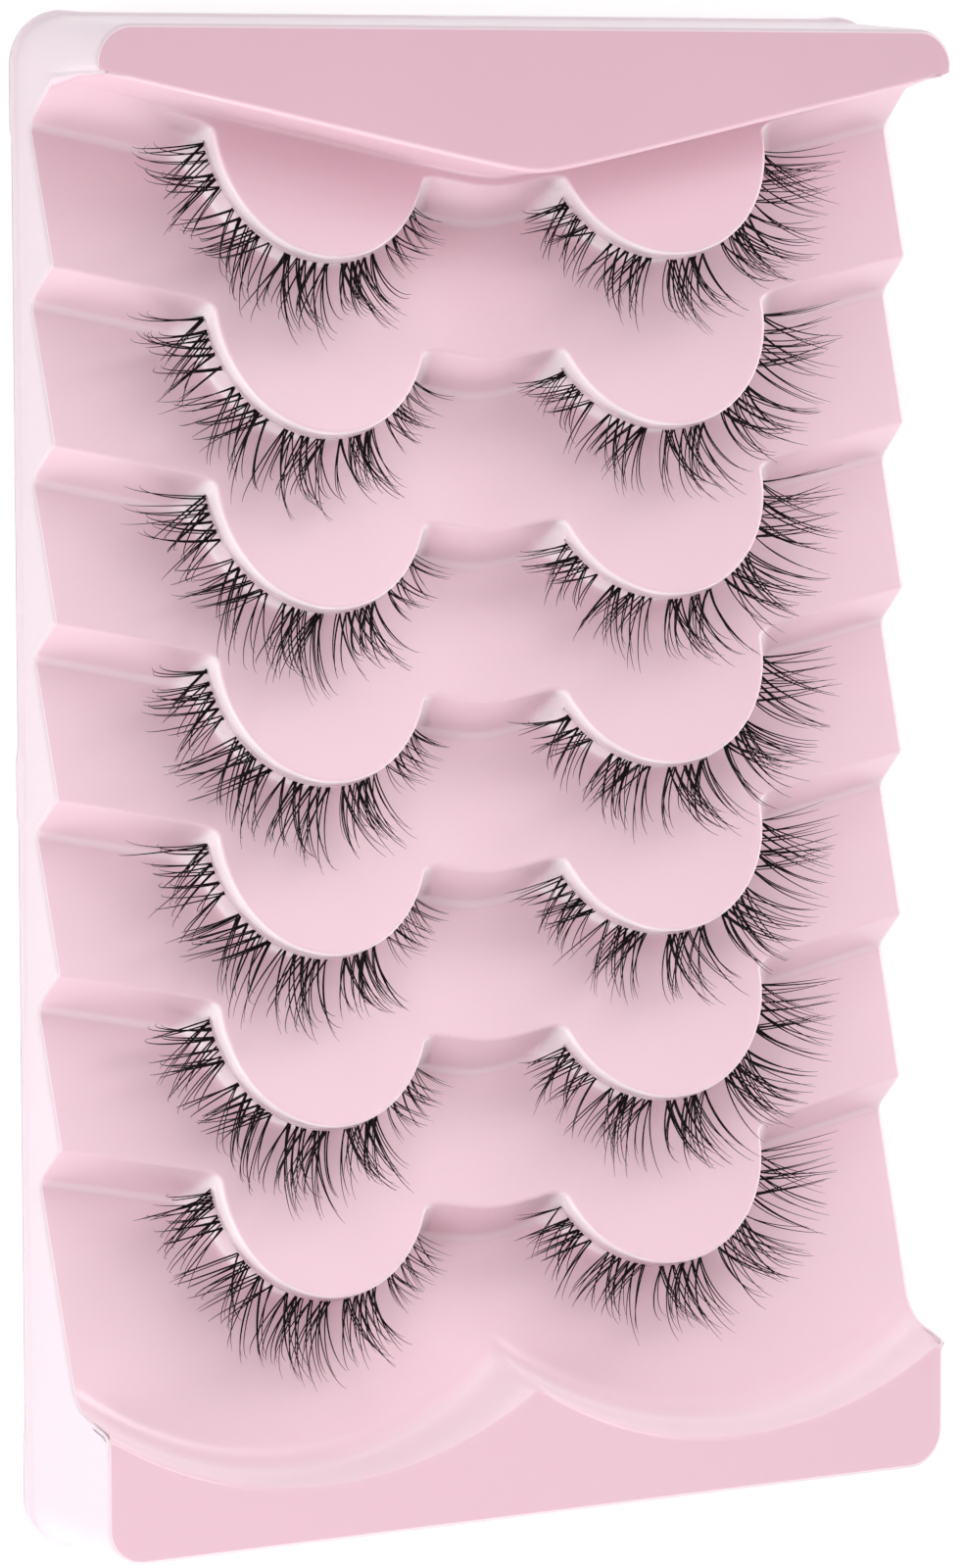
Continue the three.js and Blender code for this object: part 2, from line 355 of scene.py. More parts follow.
def rounded_line(corners):
    """Points of a line whose inner corners, given as (station, height, round), are arcs."""
    points = [np.array(corners[0][:2])]
    for before, corner, after in zip(corners, corners[1:], corners[2:]):
        middle = np.array(corner[:2])
        back = np.array(before[:2]) - middle
        ahead = np.array(after[:2]) - middle
        back = back / np.linalg.norm(back)
        ahead = ahead / np.linalg.norm(ahead)
        turn = math.pi - math.acos(np.clip(back @ ahead, -1, 1))
        reach = corner[2] * math.tan(turn / 2)
        weight = math.cos(turn / 2)
        for t in np.linspace(0, 1, ROUND_STEPS):
            shares = np.array([(1 - t) ** 2, 2 * weight * t * (1 - t), t ** 2])
            ends = np.array([middle + back * reach, middle, middle + ahead * reach])
            points.append(shares @ ends / shares.sum())
    points.append(np.array(corners[-1][:2]))
    return np.array(points)


def smooth_step(value, start, end):
    t = np.clip((value - start) / (end - start), 0, 1)
    return t * t * (3 - 2 * t)


# Tray surface

def chevron_dip(x):
    return CHEVRON_SLOPE * (FRONT_WIDTH / 2 - np.hypot(x, CHEVRON_TIP))


def riser_station(tier):
    return RISER_STATION - tier * TIER_PITCH


def tongue_plane(tier, station):
    """Height of the surface above a tier's riser, carried on past the riser's edge."""
    return DEPTH - RISER_TOP_DROP - TIER_SLOPE * (station - riser_station(tier))


def header_foot_height():
    """Where the first riser, carried on upwards, meets the header's wall."""
    return DEPTH - RISER_TOP_DROP + (HEADER_SIDE_FOOT_STATION - RISER_STATION) * RISER_DROP / RISER_RUN


def stair_line(with_ledge):
    """Side view of the front surface, with or without a ledge between header wall and first riser."""
    corners = [(END_STATION, DEPTH, 0), (HEADER_STATION, DEPTH, HEADER_EDGE_ROUND)]
    if with_ledge:
        corners.append((HEADER_FOOT_STATION, tongue_plane(0, HEADER_FOOT_STATION), LEDGE_FOOT_ROUND))
        corners.append((RISER_STATION, DEPTH - RISER_TOP_DROP, LEDGE_EDGE_ROUND))
    else:
        corners.append((HEADER_SIDE_FOOT_STATION, header_foot_height(), HEADER_FOOT_ROUND))
    for tier in range(TIER_COUNT):
        top = riser_station(tier)
        if tier > 0:
            corners.append((top, DEPTH - RISER_TOP_DROP, RISER_TOP_ROUND))
        corners.append((top - RISER_RUN, DEPTH - RISER_FOOT_DROP, RISER_FOOT_ROUND))
    corners.append((-END_STATION, tongue_plane(TIER_COUNT, -END_STATION), 0))
    return rounded_line(corners)[::-1]


MIDDLE_STAIR = stair_line(True)
SIDE_STAIR = stair_line(False)


def stair_height(x, y):
    station = y + chevron_dip(x)
    middle = np.interp(station, MIDDLE_STAIR[:, 0], MIDDLE_STAIR[:, 1])
    side = np.interp(station, SIDE_STAIR[:, 0], SIDE_STAIR[:, 1])
    return middle + (side - middle) * smooth_step(np.abs(x), LEDGE_FULL_X, LEDGE_END_X)


def tongue_centre(tier, sign):
    return sign * TONGUE_X, riser_station(tier) - chevron_dip(TONGUE_X) + TONGUE_SETBACK


def tongue_wall_radius(tier, height):
    """Radius of a tongue's drafted wall at a height."""
    centre_height = tongue_plane(tier, riser_station(tier) + TONGUE_SETBACK)
    return TONGUE_RADIUS + TONGUE_DRAFT * (centre_height - height)


def tongue_surface(tier, sign, x, y, ground):
    """Height of a tongue, its wall and the rounds between them and the riser, over the ground."""
    centre_x, centre_y = tongue_centre(tier, sign)
    away = np.hypot(x - centre_x, y - centre_y)
    station = y + chevron_dip(x)
    plane = tongue_plane(tier, station)
    riser_square = math.sin(math.atan2(RISER_DROP, RISER_RUN)) * math.cos(math.atan(CHEVRON_SLOPE))

    def outside(height):
        off_tongue = away - tongue_wall_radius(tier, height) - flare(height - ground, TONGUE_FOOT_ROUND)
        riser_place = riser_station(tier) - RISER_RUN * (DEPTH - RISER_TOP_DROP - height) / RISER_DROP
        off_riser = (riser_place - station) * riser_square
        joint = TONGUE_JOINT_ROUND + TONGUE_JOINT_GROWTH * np.maximum(plane - height, 0)
        wall = -round_max(-off_tongue, -off_riser, joint)
        return round_max((height - plane) * math.cos(TIER_TILT), wall, TONGUE_EDGE_ROUND)

    return settle(outside, ground, np.maximum(plane, ground))


def footer_surface(x, y, ground):
    """Height of the footer and of its two scalloped walls, over the ground."""

    def outside(height):
        radius = SCALLOP_RADIUS - SCALLOP_DRAFT * (DEPTH - height)
        radius = radius - flare(height - ground, SCALLOP_FOOT_ROUND)
        bites = [radius - np.hypot(x - sign * SCALLOP_X, y - SCALLOP_Y) for sign in SIGNS.values()]
        wall = round_max(bites[0], bites[1], SCALLOP_CUSP_ROUND)
        return round_max(height - DEPTH, wall, SCALLOP_EDGE_ROUND)

    return settle(outside, ground, np.full_like(ground, DEPTH))


def surface(x, y):
    """Height of the tray's front surface over a place in plan."""
    height = stair_height(x, y)
    span = TONGUE_RADIUS + TONGUE_FOOT_ROUND + TONGUE_SPARE
    for tier in range(TIER_COUNT):
        for sign in SIGNS.values():
            centre_x, centre_y = tongue_centre(tier, sign)
            near = np.hypot(x - centre_x, y - centre_y) < span
            raised = tongue_surface(tier, sign, x[near], y[near], height[near])
            height[near] = np.maximum(height[near], raised)
    near = y < FOOTER_ZONE_Y
    height[near] = np.maximum(height[near], footer_surface(x[near], y[near], height[near]))
    return height


def surface_normals(x, y):
    step = SLOPE_PROBE
    slope_x = (surface(x + step, y) - surface(x - step, y)) / (2 * step)
    slope_y = (surface(x, y + step) - surface(x, y - step)) / (2 * step)
    normals = np.stack([-slope_x, -slope_y, np.ones_like(x)], axis=1)
    return normals / np.linalg.norm(normals, axis=1, keepdims=True)


# Tray outline

def side_places():
    """Places along a long side: even steps along its stepped edge, and every bend and corner on it."""
    half = FRONT_LENGTH / 2 - FRONT_CORNER
    probe = np.arange(-half, half, SIDE_PROBE)
    rise = surface(np.full_like(probe, FRONT_WIDTH / 2 - SIDE_EDGE_ROUND), probe)
    travel = np.concatenate([[0], np.cumsum(np.hypot(np.diff(probe), np.diff(rise)))])
    even = np.interp(np.arange(0, travel[-1], SIDE_STEP), travel, probe)
    turn = np.radians(np.linspace(0, 90, CORNER_POINTS))
    corner = HEADER_STATION + HEADER_CORNER_ROUND * (1 - np.sin(turn))
    places = np.sort(np.concatenate([even, corner, SIDE_STAIR[:, 0], [half]]))
    places = places[(places >= -half) & (places <= half)]
    keep = np.concatenate([[True], np.diff(places) > LEAST_STEP])
    return places[keep]


def outline_ring():
    """Places round the front's outline, counter-clockwise, and the level direction out at each."""
    half_x = FRONT_WIDTH / 2
    half_y = FRONT_LENGTH / 2
    inner_x = half_x - FRONT_CORNER
    inner_y = half_y - FRONT_CORNER
    side = side_places()
    end_count = int(2 * inner_x / END_SPACING)
    end = np.linspace(-inner_x, inner_x, end_count)
    bend = np.radians(np.linspace(0, 90, CORNER_POINTS + 2)[1:-1])
    places = []
    outs = []

    def add_line(xs, ys, out):
        places.append(np.stack(np.broadcast_arrays(xs, ys), axis=1))
        outs.append(np.tile(out, (len(places[-1]), 1)))

    def add_corner(x, y, start):
        out = np.stack([np.cos(bend + start), np.sin(bend + start)], axis=1)
        places.append(np.array([x, y]) + FRONT_CORNER * out)
        outs.append(out)

    add_line(np.array([half_x]), side, (1, 0))
    add_corner(inner_x, inner_y, 0)
    add_line(end[::-1], np.array([half_y]), (0, 1))
    add_corner(-inner_x, inner_y, math.pi / 2)
    add_line(np.array([-half_x]), side[::-1], (-1, 0))
    add_corner(-inner_x, -inner_y, math.pi)
    add_line(end, np.array([-half_y]), (0, -1))
    add_corner(inner_x, -inner_y, 1.5 * math.pi)
    return np.concatenate(places), np.concatenate(outs)


def header_pull(y, height):
    """How far the sides are drawn in at the header's round lower corners, fading out down its wall."""
    short = HEADER_CORNER_ROUND - np.clip(y - HEADER_STATION, 0, HEADER_CORNER_ROUND)
    pull = HEADER_CORNER_ROUND - np.sqrt(HEADER_CORNER_ROUND ** 2 - short ** 2)
    foot = header_foot_height()
    fade = np.clip((height - foot) / (DEPTH - foot), 0, 1)
    return np.where(y > 0, pull * fade, 0)


def side_inset(y, height):
    """Place of the side wall at a height, measured out from the front's outline."""
    return SIDE_DRAFT * (DEPTH - height) - header_pull(y, height)


def rim_swell(outline):
    """Extra width of the rim at its corners and at the snap nub halfway along each long side."""
    from_side = FRONT_WIDTH / 2 - np.abs(outline[:, 0])
    from_end = FRONT_LENGTH / 2 - np.abs(outline[:, 1])
    corner_x, corner_y = RIM_SWELL_CORNER
    near_side = smooth_step(-from_side, -corner_x, RIM_SWELL_FADE - corner_x)
    near_end = smooth_step(-from_end, -corner_y, RIM_SWELL_FADE - corner_y)
    off_nub = np.abs(outline[:, 1] - RIM_NUB_Y)
    nub = 1 - smooth_step(off_nub, RIM_NUB_HALF, RIM_NUB_HALF + RIM_NUB_FADE)
    nub = nub * (from_side < NEAR_LONG_SIDE)
    return RIM_SWELL * np.maximum(near_side * near_end, nub)


def edge_rounds(outline):
    """Round of the edge between front and side wall, smaller where the edge itself climbs steeply."""
    x = np.sign(outline[:, 0]) * (FRONT_WIDTH / 2 - SIDE_EDGE_ROUND)
    climbs = []
    for reach in np.linspace(-CLIMB_REACH, CLIMB_REACH, CLIMB_PROBES):
        ahead = surface(x, outline[:, 1] + reach + CLIMB_STEP)
        behind = surface(x, outline[:, 1] + reach - CLIMB_STEP)
        climbs.append(np.abs(ahead - behind) / (2 * CLIMB_STEP))
    on_side = np.abs(outline[:, 1]) < FRONT_LENGTH / 2 - FRONT_CORNER
    climb = np.where(on_side, np.mean(climbs, axis=0), 0)
    return SIDE_EDGE_ROUND / np.hypot(1, climb)


def top_ring(outline, out, edge_round):
    """Where the front surface turns down into the side wall, all round."""
    height = np.full(len(outline), DEPTH)
    for _ in range(RING_PASSES):
        inset = side_inset(outline[:, 1], height) - edge_round
        ring = outline + out * inset[:, None]
        height = surface(ring[:, 0], ring[:, 1])
    return ring, height


# Tray plan

def inside_edge(points):
    """Which places lie on the front and clear of its rounded edge."""
    height = surface(points[:, 0], points[:, 1])
    room = side_inset(points[:, 1], height) - SIDE_EDGE_ROUND - CLEAR_OF_EDGE
    inside_x = np.abs(points[:, 0]) < FRONT_WIDTH / 2 + room
    inside_y = np.abs(points[:, 1]) < FRONT_LENGTH / 2 + room
    return inside_x & inside_y


def round_rows(inner, outer, inner_round, outer_round):
    """Distances across a wall: its top round, its straight part and its foot round."""
    arc = 1 - np.sin(np.radians(np.linspace(0, 90, ROUND_STEPS)))
    rows = [inner - ROW_INSIDE_EDGE * inner_round]
    rows += [inner - inner_round * share for share in arc]
    rows += [inner + (outer - inner) * share for share in STRAIGHT_SHARES]
    rows += [outer + outer_round * share for share in arc[::-1]]
    rows.append(outer + ROW_PAST_FOOT * outer_round)
    return rows


def station_lines():
    """Lines across the tray along every bend of the tiers, with close points round the chevron's tip."""
    middle = np.linspace(*MIDDLE_SPAN, MIDDLE_POINTS)
    flank = np.linspace(*FLANK_SPAN, FLANK_POINTS)
    x = np.concatenate([-flank[::-1], middle, flank])
    bends = np.concatenate([MIDDLE_STAIR[1:-1, 0], SIDE_STAIR[1:-1, 0]])
    bends = np.unique(bends.round(STATION_DECIMALS))
    return [np.stack([x, station - chevron_dip(x)], axis=1) for station in bends]


def tongue_lines(tier, sign):
    """Rows round a tongue's wall, each as points round its centre."""
    angle = np.radians(np.linspace(*TONGUE_ARC, TONGUE_ARC_POINTS))
    out = np.stack([sign * np.cos(angle), -np.sin(angle)], axis=1)
    centre = np.array(tongue_centre(tier, sign))
    edge = centre + TONGUE_RADIUS * out
    ground = stair_height(edge[:, 0], edge[:, 1])
    top = tongue_plane(tier, edge[:, 1] + chevron_dip(edge[:, 0]))
    inner = tongue_wall_radius(tier, top)
    outer = tongue_wall_radius(tier, np.minimum(ground, top))
    rows = round_rows(inner, outer, TONGUE_EDGE_ROUND, TONGUE_FOOT_ROUND)
    return [centre + row[:, None] * out for row in rows]


def scallop_lines(sign):
    """Rows along a scallop's wall, cut off where the other scallop takes over."""
    angle = np.radians(np.linspace(*SCALLOP_ARC, SCALLOP_ARC_POINTS))
    out = np.stack([np.cos(angle), np.sin(angle)], axis=1)
    centre = np.array([sign * SCALLOP_X, SCALLOP_Y])
    edge = centre + SCALLOP_RADIUS * out
    ground = stair_height(edge[:, 0], edge[:, 1])
    foot = SCALLOP_RADIUS - SCALLOP_DRAFT * (DEPTH - ground)
    rows = round_rows(-SCALLOP_RADIUS, -foot, SCALLOP_EDGE_ROUND, SCALLOP_FOOT_ROUND)
    lines = []
    for row in rows:
        line = centre - np.broadcast_to(row, angle.shape)[:, None] * out
        beyond_middle = sign * line[:, 0] < -SCALLOP_PAST_MIDDLE
        lines.append(np.where(beyond_middle[:, None], np.nan, line))
    return lines


def inside_ring(places, ring):
    """Which places lie inside the ring, whose two long sides bend in and out."""
    side = ring[ring[:, 0] > FRONT_WIDTH / 2 - FRONT_CORNER]
    side = side[np.argsort(side[:, 1])]
    return np.abs(places[:, 0]) < np.interp(places[:, 1], side[:, 1], side[:, 0])


def plan_mesh(ring):
    """Triangles of the front surface in plan, with every bend and wall row as an edge."""
    lines = station_lines()
    for sign in SIGNS.values():
        lines += scallop_lines(sign)
        for tier in range(TIER_COUNT):
            lines += tongue_lines(tier, sign)
    points = [ring]
    edges = []
    count = len(ring)
    for line in lines:
        real = ~np.isnan(line[:, 0])
        inside = np.zeros(len(line), bool)
        inside[real] = inside_edge(line[real])
        index = np.full(len(line), -1)
        index[inside] = count + np.arange(inside.sum())
        points.append(line[inside])
        count += inside.sum()
        joined = inside[:-1] & inside[1:]
        edges += list(zip(index[:-1][joined].tolist(), index[1:][joined].tolist()))
    flat = [Vector(point) for point in np.concatenate(points)]
    rim = [list(range(len(ring)))]
    result = delaunay_2d_cdt(flat, edges, rim, INSIDE_ONLY, WELD, True)
    places = np.array([tuple(point) for point in result[0]])
    triangles = np.array(result[2])
    triangles = triangles[inside_ring(places[triangles].mean(axis=1), ring)]
    ring_at = np.zeros(len(ring), int)
    for new, olds in enumerate(result[3]):
        for old in olds:
            if old < len(ring):
                ring_at[old] = new
    return places, triangles, ring_at


# Tray mesh

def wall_rows(outline, out, ring_height, edge_round):
    """Rows of the side wall below the top ring: edge round, drafted wall, rim and foot."""
    rows = []
    y = outline[:, 1]
    for angle in EDGE_TURNS:
        turn = math.radians(angle)
        height = ring_height - edge_round * (1 - math.cos(turn))
        inset = side_inset(y, ring_height) - edge_round * (1 - math.sin(turn))
        rows.append((inset, height))
    start = ring_height - edge_round
    wall_foot = RIM_HEIGHT + WALL_ABOVE_RIM
    for share in WALL_SHARES:
        height = start + (wall_foot - start) * share
        rows.append((side_inset(y, height), height))
    rim_width = RIM_OUTSET + rim_swell(outline)
    for ring in RIM_SHAPE:
        height = np.full_like(ring_height, ring["height"])
        rows.append((side_inset(y, height) + rim_width * ring["out"], height))
    return [np.column_stack([outline + out * inset[:, None], height]) for inset, height in rows]


def vertex_normals(points, faces):
    """Area-weighted normals of a mesh of triangles."""
    a, b, c = (points[faces[:, k]] for k in range(3))
    across = np.cross(b - a, c - a)
    total = np.zeros_like(points)
    for k in range(3):
        np.add.at(total, faces[:, k], across)
    return total / np.maximum(np.linalg.norm(total, axis=1, keepdims=True), LEAST_LENGTH)


def strip(upper, lower):
    """Triangles between two closed rows of vertex numbers, facing out for a counter-clockwise upper row."""
    upper_next = np.roll(upper, -1)
    lower_next = np.roll(lower, -1)
    first = np.stack([upper, lower, lower_next], axis=1)
    second = np.stack([upper, lower_next, upper_next], axis=1)
    return np.concatenate([first, second])


def tint_with_painted_light(points, normals):
    """Place of every point of the front on the tint's scale, where more is paler: painted light on steep
    walls, a painted highlight along the risers' feet and painted shade on the level header and footer.
    """
    x, y, height = points.T
    raised = smooth_step(height - stair_height(x, y), *RAISED_HEIGHTS)
    facing = normals[:, 1] * math.sin(TIER_TILT) + normals[:, 2] * math.cos(TIER_TILT)
    steep = smooth_step(1 - facing, *STEEP_TURNS)
    # Painted light: the steep tongue and scallop walls are made paler.
    paler = raised * steep * np.where(y > FOOTER_ZONE_Y, TONGUE_WALL_PAINTED_LIGHT, SCALLOP_WALL_PAINTED_LIGHT)
    # Painted highlight: a pale line along the foot of every riser, kept off the raised walls.
    feet = np.array([riser_station(tier) - RISER_RUN for tier in range(TIER_COUNT)])
    from_foot = np.abs(feet - (y + chevron_dip(x))[:, None]).min(axis=1)
    line = 1 - smooth_step(from_foot, *RISER_FOOT_HIGHLIGHT_REACH)
    paler = paler + RISER_FOOT_PAINTED_HIGHLIGHT * line * (1 - raised)
    # Painted shade: the level header and footer at full height are made deeper, the header the most.
    level = 1 - smooth_step(DEPTH - height, *LEVEL_DEPTHS)
    deeper = level * (1 - steep) * np.where(y > 0, HEADER_PAINTED_SHADE, FOOTER_PAINTED_SHADE)
    return TIER_TINT + paler - deeper


def tray_mesh():
    """Points, triangles, shading normals and tints with painted light and shade, of the closed sheet: front,
    side walls, rim and back.
    """
    outline, out = outline_ring()
    edge_round = edge_rounds(outline)
    ring, ring_height = top_ring(outline, out, edge_round)
    places, triangles, ring_at = plan_mesh(ring)
    x, y = places[:, 0], places[:, 1]
    top = np.column_stack([places, surface(x, y)])
    ahead = places[triangles[:, 1]] - places[triangles[:, 0]]
    beside = places[triangles[:, 2]] - places[triangles[:, 0]]
    clockwise = ahead[:, 0] * beside[:, 1] - ahead[:, 1] * beside[:, 0] < 0
    triangles[clockwise] = triangles[clockwise][:, ::-1]
    rows = wall_rows(outline, out, ring_height, edge_round)
    points = np.concatenate([top] + rows)
    row_ids = [ring_at]
    for number in range(len(rows)):
        row_ids.append(len(top) + number * len(ring) + np.arange(len(ring)))
    sheet_faces = [triangles]
    sheet_faces += [strip(a, b) for a, b in zip(row_ids[:SHEET_ROWS], row_ids[1:SHEET_ROWS + 1])]
    sheet_faces = np.concatenate(sheet_faces)
    rim_faces = np.concatenate([strip(a, b) for a, b in zip(row_ids[SHEET_ROWS:], row_ids[SHEET_ROWS + 1:])])
    outer_faces = np.concatenate([sheet_faces, rim_faces])
    mesh_normals = vertex_normals(points, outer_faces)
    normals = mesh_normals.copy()
    normals[:len(top)] = surface_normals(x, y)
    normals[ring_at] = mesh_normals[ring_at]
    # The side walls and rim take the greyer tint: painted shade against the strong side light, with painted
    # sheen in its greyness.
    tint = np.full(len(points), SIDE_WALL_SHADE_AND_SHEEN)
    tint[:len(top)] = tint_with_painted_light(top, normals[:len(top)])

    # The back is the front and the side walls moved in by the sheet's thickness, down to a lip at the foot
    sheet_count = len(top) + SHEET_ROWS * len(ring)
    lip = np.column_stack([outline + out * (SIDE_DRAFT * DEPTH - SHEET), np.zeros(len(ring))])
    back = np.concatenate([points[:sheet_count] - SHEET * normals[:sheet_count], lip])
    back_id = len(points) + np.arange(len(back))
    lip_ids = back_id[sheet_count:]
    back_faces = back_id[:sheet_count][sheet_faces][:, ::-1]
    back_wall = strip(back_id[row_ids[SHEET_ROWS]], lip_ids)[:, ::-1]
    foot = strip(row_ids[-1], lip_ids)
    all_points = np.concatenate([points, back])
    all_faces = np.concatenate([outer_faces, foot, back_faces, back_wall])
    shading = vertex_normals(all_points, all_faces)
    inner = np.setdiff1d(np.arange(len(top)), ring_at)
    shading[inner] = normals[inner]
    # The lip takes the same painted shade and sheen as the side walls.
    all_tint = np.concatenate([tint, tint[:sheet_count], np.full(len(lip), SIDE_WALL_SHADE_AND_SHEEN)])
    return all_points, all_faces, shading, all_tint


def new_object(name, points, faces, material):
    mesh = bpy.data.meshes.new(name)
    mesh.from_pydata((points * MM).tolist(), [], faces.tolist())
    mesh.polygons.foreach_set("use_smooth", np.ones(len(mesh.polygons), bool))
    mesh.materials.append(material)
    mesh.update()
    piece = bpy.data.objects.new(name, mesh)
    bpy.context.collection.objects.link(piece)
    return piece


# Materials

def set_sockets(node, values):
    for socket, value in values.items():
        node.inputs[socket].default_value = value


def new_material(name, values):
    material = bpy.data.materials.new(name)
    material.use_nodes = True
    shader = material.node_tree.nodes["Principled BSDF"]
    set_sockets(shader, values)
    return material, material.node_tree, shader


def noise(tree, values):
    place = tree.nodes.new("ShaderNodeTexCoord")
    texture = tree.nodes.new("ShaderNodeTexNoise")
    set_sockets(texture, values)
    tree.links.new(place.outputs["Object"], texture.inputs["Vector"])
    return texture.outputs["Fac"]


def ramp(tree, value, stops):
    colours = tree.nodes.new("ShaderNodeValToRGB")
    elements = colours.color_ramp.elements
    elements.remove(elements[1])
    for number, stop in enumerate(stops):
        element = elements[0] if number == 0 else elements.new(stop["at"])
        element.position = stop["at"]
        element.color = (*stop["colour"], 1)
    tree.links.new(value, colours.inputs["Fac"])
    return colours.outputs["Color"]


def tray_plastic():
    material, tree, shader = new_material("tray_plastic", TRAY_SHADER)
    # The sheet's tint with its painted light and shade comes from a layer on the mesh, mottled at random.
    drawn = tree.nodes.new("ShaderNodeAttribute")
    drawn.attribute_name = TINT_LAYER
    mottled = tree.nodes.new("ShaderNodeMath")
    mottled.operation = "MULTIPLY_ADD"
    mottled.inputs[1].default_value = TINT_MOTTLE
    tree.links.new(noise(tree, TRAY_MOTTLE), mottled.inputs[0])
    tree.links.new(drawn.outputs["Fac"], mottled.inputs[2])
    tint = ramp(tree, mottled.outputs["Value"], TINTS)
    tree.links.new(tint, shader.inputs["Base Color"])
    bump = tree.nodes.new("ShaderNodeBump")
    set_sockets(bump, TRAY_BUMP)
    tree.links.new(noise(tree, TRAY_GRAIN), bump.inputs["Height"])
    tree.links.new(bump.outputs["Normal"], shader.inputs["Normal"])
    return material


def lash_fibre():
    material, tree, shader = new_material("lash_fibre", FIBRE_SHADER)
    tint = ramp(tree, noise(tree, FIBRE_MOTTLE), FIBRE_TINTS)
    tree.links.new(tint, shader.inputs["Base Color"])
    return material


def clear_band():
    material, _, _ = new_material("clear_band", BAND_SHADER)
    return material


def floor_paper():
    material, tree, shader = new_material("floor_paper", FLOOR_SHADER)
    tint = ramp(tree, noise(tree, FLOOR_MOTTLE), FLOOR_TINTS)
    tree.links.new(tint, shader.inputs["Base Color"])
    return material


# Lash strips

def band_place(sign, tier, degrees, drop):
    """Places on a strip's line and the level directions straight out from the tongue there."""
    angle = np.radians(degrees)
    out = np.stack([sign * np.cos(angle), -np.sin(angle), np.zeros_like(angle)], axis=-1)
    centre = np.array([*tongue_centre(tier, sign), 0])
    edge = centre + TONGUE_RADIUS * out
    height = tongue_plane(tier, edge[..., 1] + chevron_dip(edge[..., 0])) - drop
    reach = tongue_wall_radius(tier, height) + BAND_GAP
    spot = centre + reach[..., None] * out
    spot[..., 2] = height
    return spot, out


def band_mesh(sign, tier, drop, shift):
    """The clear strip that carries the hairs, as a thin closed bar round the tongue."""
    spot, out = band_place(sign, tier, shift + np.linspace(*BAND_ARC, BAND_POINTS), drop)
    up = np.array([0, 0, 1])
    rows = [spot + out * BAND_THICKNESS * a + up * BAND_HEIGHT * b for a, b in BAND_SECTION]
    points = np.stack(rows, axis=1).reshape(-1, 3)
    sides = len(BAND_SECTION)
    faces = []
    for step in range(BAND_POINTS - 1):
        for side in range(sides):
            a = sides * step + side
            b = sides * step + (side + 1) % sides
            faces += [(a, b, b + sides), (a, b + sides, a + sides)]
    last = sides * (BAND_POINTS - 1)
    faces += [(0, 2, 1), (0, 3, 2), (last, last + 1, last + 2), (last, last + 2, last + 3)]
    faces = np.array(faces)
    return points, faces if sign > 0 else faces[:, ::-1]


def hair_table(side, rng):
    """Root angle, aim angle, length, tip rise and tip flick of every hair on a strip."""
    hairs = []
    for cluster in CLUSTERS[side]:
        for place in np.linspace(-1, 1, KNOTS):
            knot = cluster["at"] + cluster["half"] * (place + rng.normal(0, KNOT_SPREAD))
            for family in ("outer", "inner"):
                aim = cluster[family] + rng.normal(0, BUNDLE_LEAN)
                curl = cluster["curl"] + rng.normal(0, HAIR_CURL_SPREAD)
                for _ in range(rng.integers(*BUNDLE_HAIRS, endpoint=True)):
                    root = knot + rng.normal(0, KNOT_WIDTH)
                    fanned = aim + rng.normal(0, BUNDLE_FAN)
                    length = cluster["length"] * rng.uniform(HAIR_SHORTEST, HAIR_LONGEST)
                    hairs.append((root, fanned, length, curl, cluster["flick"] * rng.uniform(0, 1)))
    return np.array(hairs).T


def hair_paths(side, tier, drop, shift, rng):
    """Centre lines of every hair on a strip and their headings, both by hair and by ring."""
    sign = SIGNS[side]
    roots, aims, lengths, curls, flicks = hair_table(side, rng)
    count = len(roots)
    t = np.linspace(0, 1, HAIR_RINGS)
    spot, out = band_place(sign, tier, shift + roots, drop)
    spot = spot + out * (ROOT_OUTSET - BAND_GAP)
    spot[:, 2] += rng.normal(0, ROOT_SCATTER, count)
    bend = rng.normal(0, HAIR_BEND, count)
    aim = np.radians(shift + aims[:, None] + bend[:, None] * t)
    first = HAIR_FIRST_RISE + rng.normal(0, HAIR_FIRST_SPREAD, count)
    rise = first[:, None] + (curls - first)[:, None] * t ** HAIR_CURL_POWER
    rise = np.radians(rise + flicks[:, None] * t ** HAIR_FLICK_POWER)
    level = np.cos(rise)
    along_x = sign * np.cos(aim) * level
    along_y = -np.sin(aim) * level
    upright = np.sin(rise)
    tilted_y = along_y * math.cos(TIER_TILT) + upright * math.sin(TIER_TILT)
    tilted_z = upright * math.cos(TIER_TILT) - along_y * math.sin(TIER_TILT)
    heading = np.stack([along_x, tilted_y, tilted_z], axis=-1)
    steps = (heading[:, 1:] + heading[:, :-1]) / 2 * (lengths / (HAIR_RINGS - 1))[:, None, None]
    path = spot[:, None] + np.concatenate([np.zeros((count, 1, 3)), np.cumsum(steps, axis=1)], axis=1)
    return path, heading


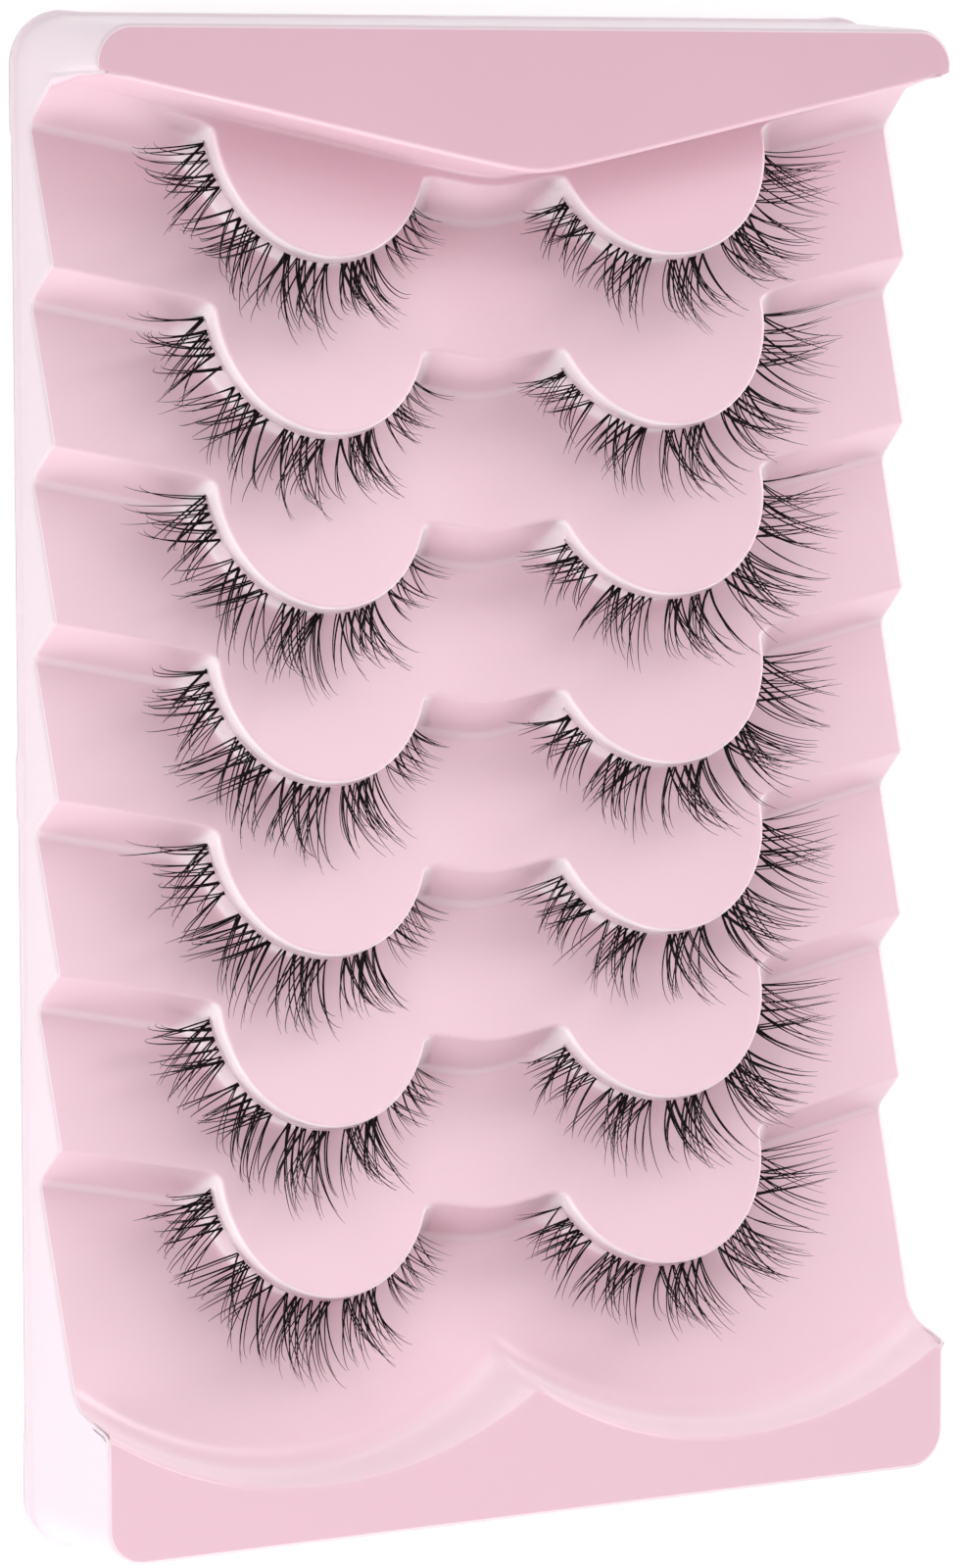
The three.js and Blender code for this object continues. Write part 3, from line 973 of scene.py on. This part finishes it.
def hair_mesh(side, tier, drop, shift, rng):
    """Every hair of a strip as a tapered tube with closed ends."""
    path, heading = hair_paths(side, tier, drop, shift, rng)
    count = len(path)
    t = np.linspace(0, 1, HAIR_RINGS)
    lengths = np.linalg.norm(np.diff(path, axis=1), axis=-1).sum(axis=1)
    slight = np.clip(lengths / HAIR_FULL_LENGTH, HAIR_SLIGHTEST, 1)
    thick = (rng.uniform(*HAIR_THICKNESS, count) * slight)[:, None]
    radius = (HAIR_TIP_RADIUS + (HAIR_ROOT_RADIUS - HAIR_TIP_RADIUS) * (1 - t ** HAIR_TAPER_POWER)) * thick
    heading = heading / np.linalg.norm(heading, axis=-1, keepdims=True)
    across = np.cross(heading, (0, 0, 1.0))
    across = across / np.maximum(np.linalg.norm(across, axis=-1, keepdims=True), LEAST_LENGTH)
    above = np.cross(across, heading)
    angle = np.arange(HAIR_SIDES) * 2 * math.pi / HAIR_SIDES
    ring = across[:, :, None] * np.cos(angle)[:, None] + above[:, :, None] * np.sin(angle)[:, None]
    points = path[:, :, None] + ring * radius[:, :, None, None]
    numbers = np.arange(count * HAIR_RINGS * HAIR_SIDES).reshape(count, HAIR_RINGS, HAIR_SIDES)
    a = numbers[:, :-1]
    b = np.roll(numbers, -1, axis=2)[:, :-1]
    c = np.roll(numbers, -1, axis=2)[:, 1:]
    d = numbers[:, 1:]
    sides = np.concatenate([np.stack([a, b, c], -1).reshape(-1, 3), np.stack([a, c, d], -1).reshape(-1, 3)])
    fan = np.array([(0, k, k + 1) for k in range(1, HAIR_SIDES - 1)])
    roots = numbers[:, 0][:, fan][..., ::-1].reshape(-1, 3)
    tips = numbers[:, -1][:, fan].reshape(-1, 3)
    return points.reshape(-1, 3), np.concatenate([sides, roots, tips])


def make_lash(side, tier, fibre, band):
    sign = SIGNS[side]
    rng = np.random.default_rng(SEED_STEP * (tier + 1) + sign)
    drop = BAND_DROP + BAND_DROP_SPREAD * rng.uniform(-1, 1)
    shift = STRIP_SHIFT_SPREAD * rng.uniform(-1, 1)
    hair_points, hair_faces = hair_mesh(side, tier, drop, shift, rng)
    band_points, band_faces = band_mesh(sign, tier, drop, shift)
    points = np.concatenate([hair_points, band_points])
    faces = np.concatenate([hair_faces, band_faces + len(hair_points)])
    node = f"lash_{side}_{tier + 1}"
    piece = new_object(f"{node}_hairs", points, faces, fibre)
    piece.data.materials.append(band)
    material_index = np.zeros(len(faces), np.int32)
    material_index[len(hair_faces):] = 1
    piece.data.polygons.foreach_set("material_index", material_index)
    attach(piece, "root")
    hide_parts(node)


# Stage

def make_floor():
    bpy.ops.mesh.primitive_plane_add(size=FLOOR_SIZE, location=(0, 0, 0))
    floor = bpy.context.object
    floor.name = "floor"
    floor.data.materials.append(floor_paper())


def make_camera():
    data = bpy.data.cameras.new("camera")
    data.lens = CAMERA_LENS
    data.clip_end = CAMERA_REACH
    turn = Matrix.Rotation(math.radians(CAMERA_ROLL), 3, "Z")
    turn = turn @ Matrix.Rotation(math.radians(CAMERA_PITCH), 3, "X")
    turn = turn @ Matrix.Rotation(math.radians(CAMERA_YAW), 3, "Y")
    camera = bpy.data.objects.new("camera", data)
    bpy.context.collection.objects.link(camera)
    place = Matrix.Translation(Vector(CAMERA_PLACE) * MM)
    camera.matrix_world = place @ turn.transposed().to_4x4()
    bpy.context.scene.camera = camera


def area_light(name, place, aim, size, power, spread):
    data = bpy.data.lights.new(name, "AREA")
    data.shape = "RECTANGLE"
    data.size, data.size_y = size
    data.energy = power
    data.spread = math.radians(spread)
    light = bpy.data.objects.new(name, data)
    bpy.context.collection.objects.link(light)
    light.location = place
    light.rotation_euler = (Vector(aim) - Vector(place)).to_track_quat("-Z", "Y").to_euler()


def make_light():
    world = bpy.data.worlds.new("studio")
    world.use_nodes = True
    background = world.node_tree.nodes["Background"]
    background.inputs["Color"].default_value = (1, 1, 1, 1)
    background.inputs["Strength"].default_value = SKY_STRENGTH
    bpy.context.scene.world = world
    for light in LIGHTS:
        area_light(**light)
    bpy.context.scene.view_settings.view_transform = "Standard"


def make_tray():
    points, faces, shading, tint = tray_mesh()
    skin = new_object("tray_skin", points, faces, tray_plastic())
    layer = skin.data.attributes.new(TINT_LAYER, "FLOAT", "POINT")
    layer.data.foreach_set("value", tint.astype(np.float32))
    skin.data.normals_split_custom_set_from_vertices(shading.tolist())
    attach(skin, "root")
    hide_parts("tray")


# Whole scene

make_camera()
make_light()
make_floor()
make_tray()
fibre = lash_fibre()
band = clear_band()
for side in SIGNS:
    for tier in range(TIER_COUNT):
        make_lash(side, tier, fibre, band)
